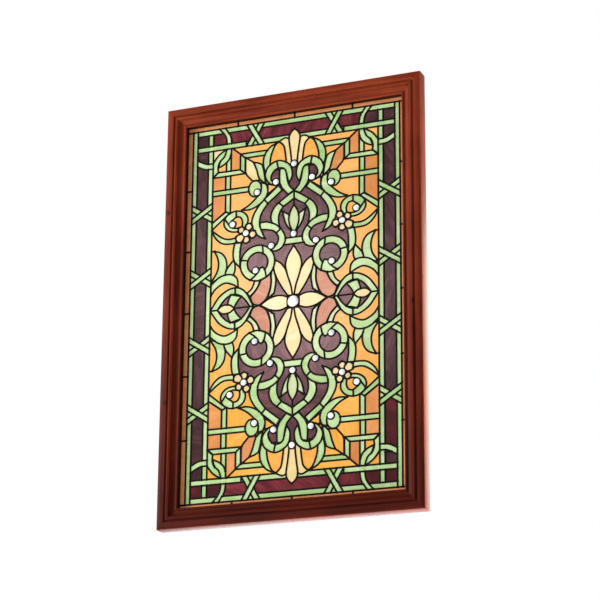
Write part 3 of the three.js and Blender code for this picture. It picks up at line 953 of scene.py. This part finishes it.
def turned(bm, profile, place, sides):
    """Turns a profile of (radius, distance from the back) round an axis that stands on the panel."""
    start = [bm.verts.new((place.x + r, -y, place.y + PANEL_MIDDLE)) for r, y in profile]
    edges = [bm.edges.new(pair) for pair in zip(start, start[1:])]
    axis = (place.x, 0, place.y + PANEL_MIDDLE)
    bmesh.ops.spin(bm, geom=[*start, *edges], cent=axis, axis=(0, 1, 0), dvec=(0, 0, 0),
                   angle=2 * math.pi, steps=sides, use_merge=True)


def cast_jewel():
    """Clear and milky glass with a fire polish, and a painted glow that is stronger than the sheet's."""
    # Painted light: the emission makes the jewels glow, brighter than the sheet glass around them.
    glass, place = finish_of("jewel_glass", Roughness=0.06, IOR=1.52, Emission_Strength=0.35, Coat_Weight=0.4)
    milk = place.noise(160.0, detail=2.0, distortion=0.8).between(0.35, 0.65)
    colour = milk.blend(linear(196, 202, 204), linear(250, 252, 252))
    colour.feed("Base Color")
    colour.feed("Emission Color")
    milk.raised(0.1, 0.0005).feed("Normal")
    return glass


JEWEL_GLASS = cast_jewel()


def jewel_set(name, places_of_jewels, radius, crown, sides, nodes):
    dome = [(radius * across, JEWEL_GIRDLE + crown * up) for across, up in FACETS]
    profile = [(0, JEWEL_BACK), (radius, JEWEL_BACK), (radius, JEWEL_GIRDLE), *dome]
    profile.append((0, JEWEL_GIRDLE + crown))
    bm = bmesh.new()
    for place in places_of_jewels:
        turned(bm, profile, place, sides)
    bmesh.ops.remove_doubles(bm, verts=bm.verts, dist=WELD_WITHIN)
    bmesh.ops.recalc_face_normals(bm, faces=bm.faces)
    made = piece(name, bm, [JEWEL_GLASS])
    smooth_over(made, degrees=20)
    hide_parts(*nodes)


found = jewel_places()
small_places = [place for _, place in found]
centre_place = [Vector((0, 0))]
jewel_set("small_jewels", small_places, SMALL_JEWEL, SMALL_CROWN, 12, [node for node, _ in found])
jewel_set("centre_jewel_glass", centre_place, CENTRE_JEWEL, CENTRE_CROWN, 16, ["centre_jewel"])


def jewel_rings():
    bm = bmesh.new()
    turns = [2 * math.pi * i / RING_SIDES for i in range(RING_SIDES + 1)]
    for radius, half_width, around in zip((SMALL_HOLE, CENTRE_HOLE), RING_HALF_WIDTHS,
                                          (small_places, centre_place)):
        section = [(radius + half_width * math.cos(t), GLASS_MIDDLE + RING_HALF_DEPTH * math.sin(t))
                   for t in turns]
        for place in around:
            turned(bm, section, place, RING_STEPS)
    bmesh.ops.remove_doubles(bm, verts=bm.verts, dist=WELD_WITHIN)
    bmesh.ops.recalc_face_normals(bm, faces=bm.faces)
    made = piece("jewel_rings", bm, [PATINA])
    smooth_over(made, degrees=75)
    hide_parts("leading")


jewel_rings()

# ---------------------------------------------------------------------------------------------
# The studio: a pale floor well below the hanging window, soft lights and the camera.

FLOOR_HEIGHT = -1.8
WHITE = (1.0, 1.0, 1.0, 1.0)
AIR_LIGHT = 0.28
MIDDLE = (0, 0, -0.39)


def studio():
    bpy.ops.mesh.primitive_plane_add(size=30, location=(0, 0, FLOOR_HEIGHT))
    floor = bpy.context.object
    floor.name = "studio_floor"
    finish, place = finish_of("floor_paint", Roughness=0.8, Emission_Color=WHITE, Emission_Strength=0.45)
    place.noise(3.0).between(0.3, 0.7).blend(linear(232, 232, 230), linear(240, 240, 238)).feed("Base Color")
    floor.data.materials.append(finish)

    world = bpy.data.worlds.new("studio_air")
    bpy.context.scene.world = world
    world.use_nodes = True
    nodes, links = world.node_tree.nodes, world.node_tree.links
    seen = nodes.new("ShaderNodeBackground")
    seen.inputs["Color"].default_value = WHITE
    lit = nodes["Background"]
    lit.inputs["Color"].default_value = WHITE
    lit.inputs["Strength"].default_value = AIR_LIGHT
    path = nodes.new("ShaderNodeLightPath")
    mix = nodes.new("ShaderNodeMixShader")
    links.new(path.outputs["Is Camera Ray"], mix.inputs[0])
    links.new(lit.outputs[0], mix.inputs[1])
    links.new(seen.outputs[0], mix.inputs[2])
    links.new(mix.outputs[0], nodes["World Output"].inputs[0])
    bpy.context.scene.view_settings.view_transform = "Standard"


def soft_light(name, place, size, power, colour=WHITE[:3]):
    """A square of light that faces the middle of the window."""
    lamp = bpy.data.lights.new(name, "AREA")
    lamp.shape = "SQUARE"
    lamp.size = size
    lamp.energy = power
    lamp.color = colour
    made = bpy.data.objects.new(name, lamp)
    made.location = place
    made.rotation_euler = (Vector(MIDDLE) - Vector(place)).to_track_quat("-Z", "Y").to_euler()
    bpy.context.scene.collection.objects.link(made)


studio()
soft_light("main_light", (-2.4, -1.7, 0.0), size=1.4, power=92)
soft_light("sheen_light", (-1.24, -2.98, 0.7), size=0.45, power=5, colour=(1.0, 0.72, 0.74))
soft_light("side_light", (0.9, 0.2, -1.5), size=0.4, power=70, colour=(1.0, 0.93, 0.85))
soft_light("back_light", (0.95, 2.0, 0.05), size=0.9, power=22, colour=(1.0, 0.86, 0.74))
soft_light("low_light", (-0.83, 1.97, -1.25), size=0.8, power=9)

camera = bpy.data.objects.new("camera", bpy.data.cameras.new("camera"))
camera.data.lens = 124.7
camera.location = (1.3785, -3.3122, -1.5650)
LOOK = Vector((-0.36270, 0.87777, 0.31302))
ROLL = math.radians(0.40)
camera.rotation_mode = "QUATERNION"
camera.rotation_quaternion = LOOK.to_track_quat("-Z", "Y") @ Quaternion((0, 0, 1), ROLL)
bpy.context.scene.collection.objects.link(camera)
bpy.context.scene.camera = camera
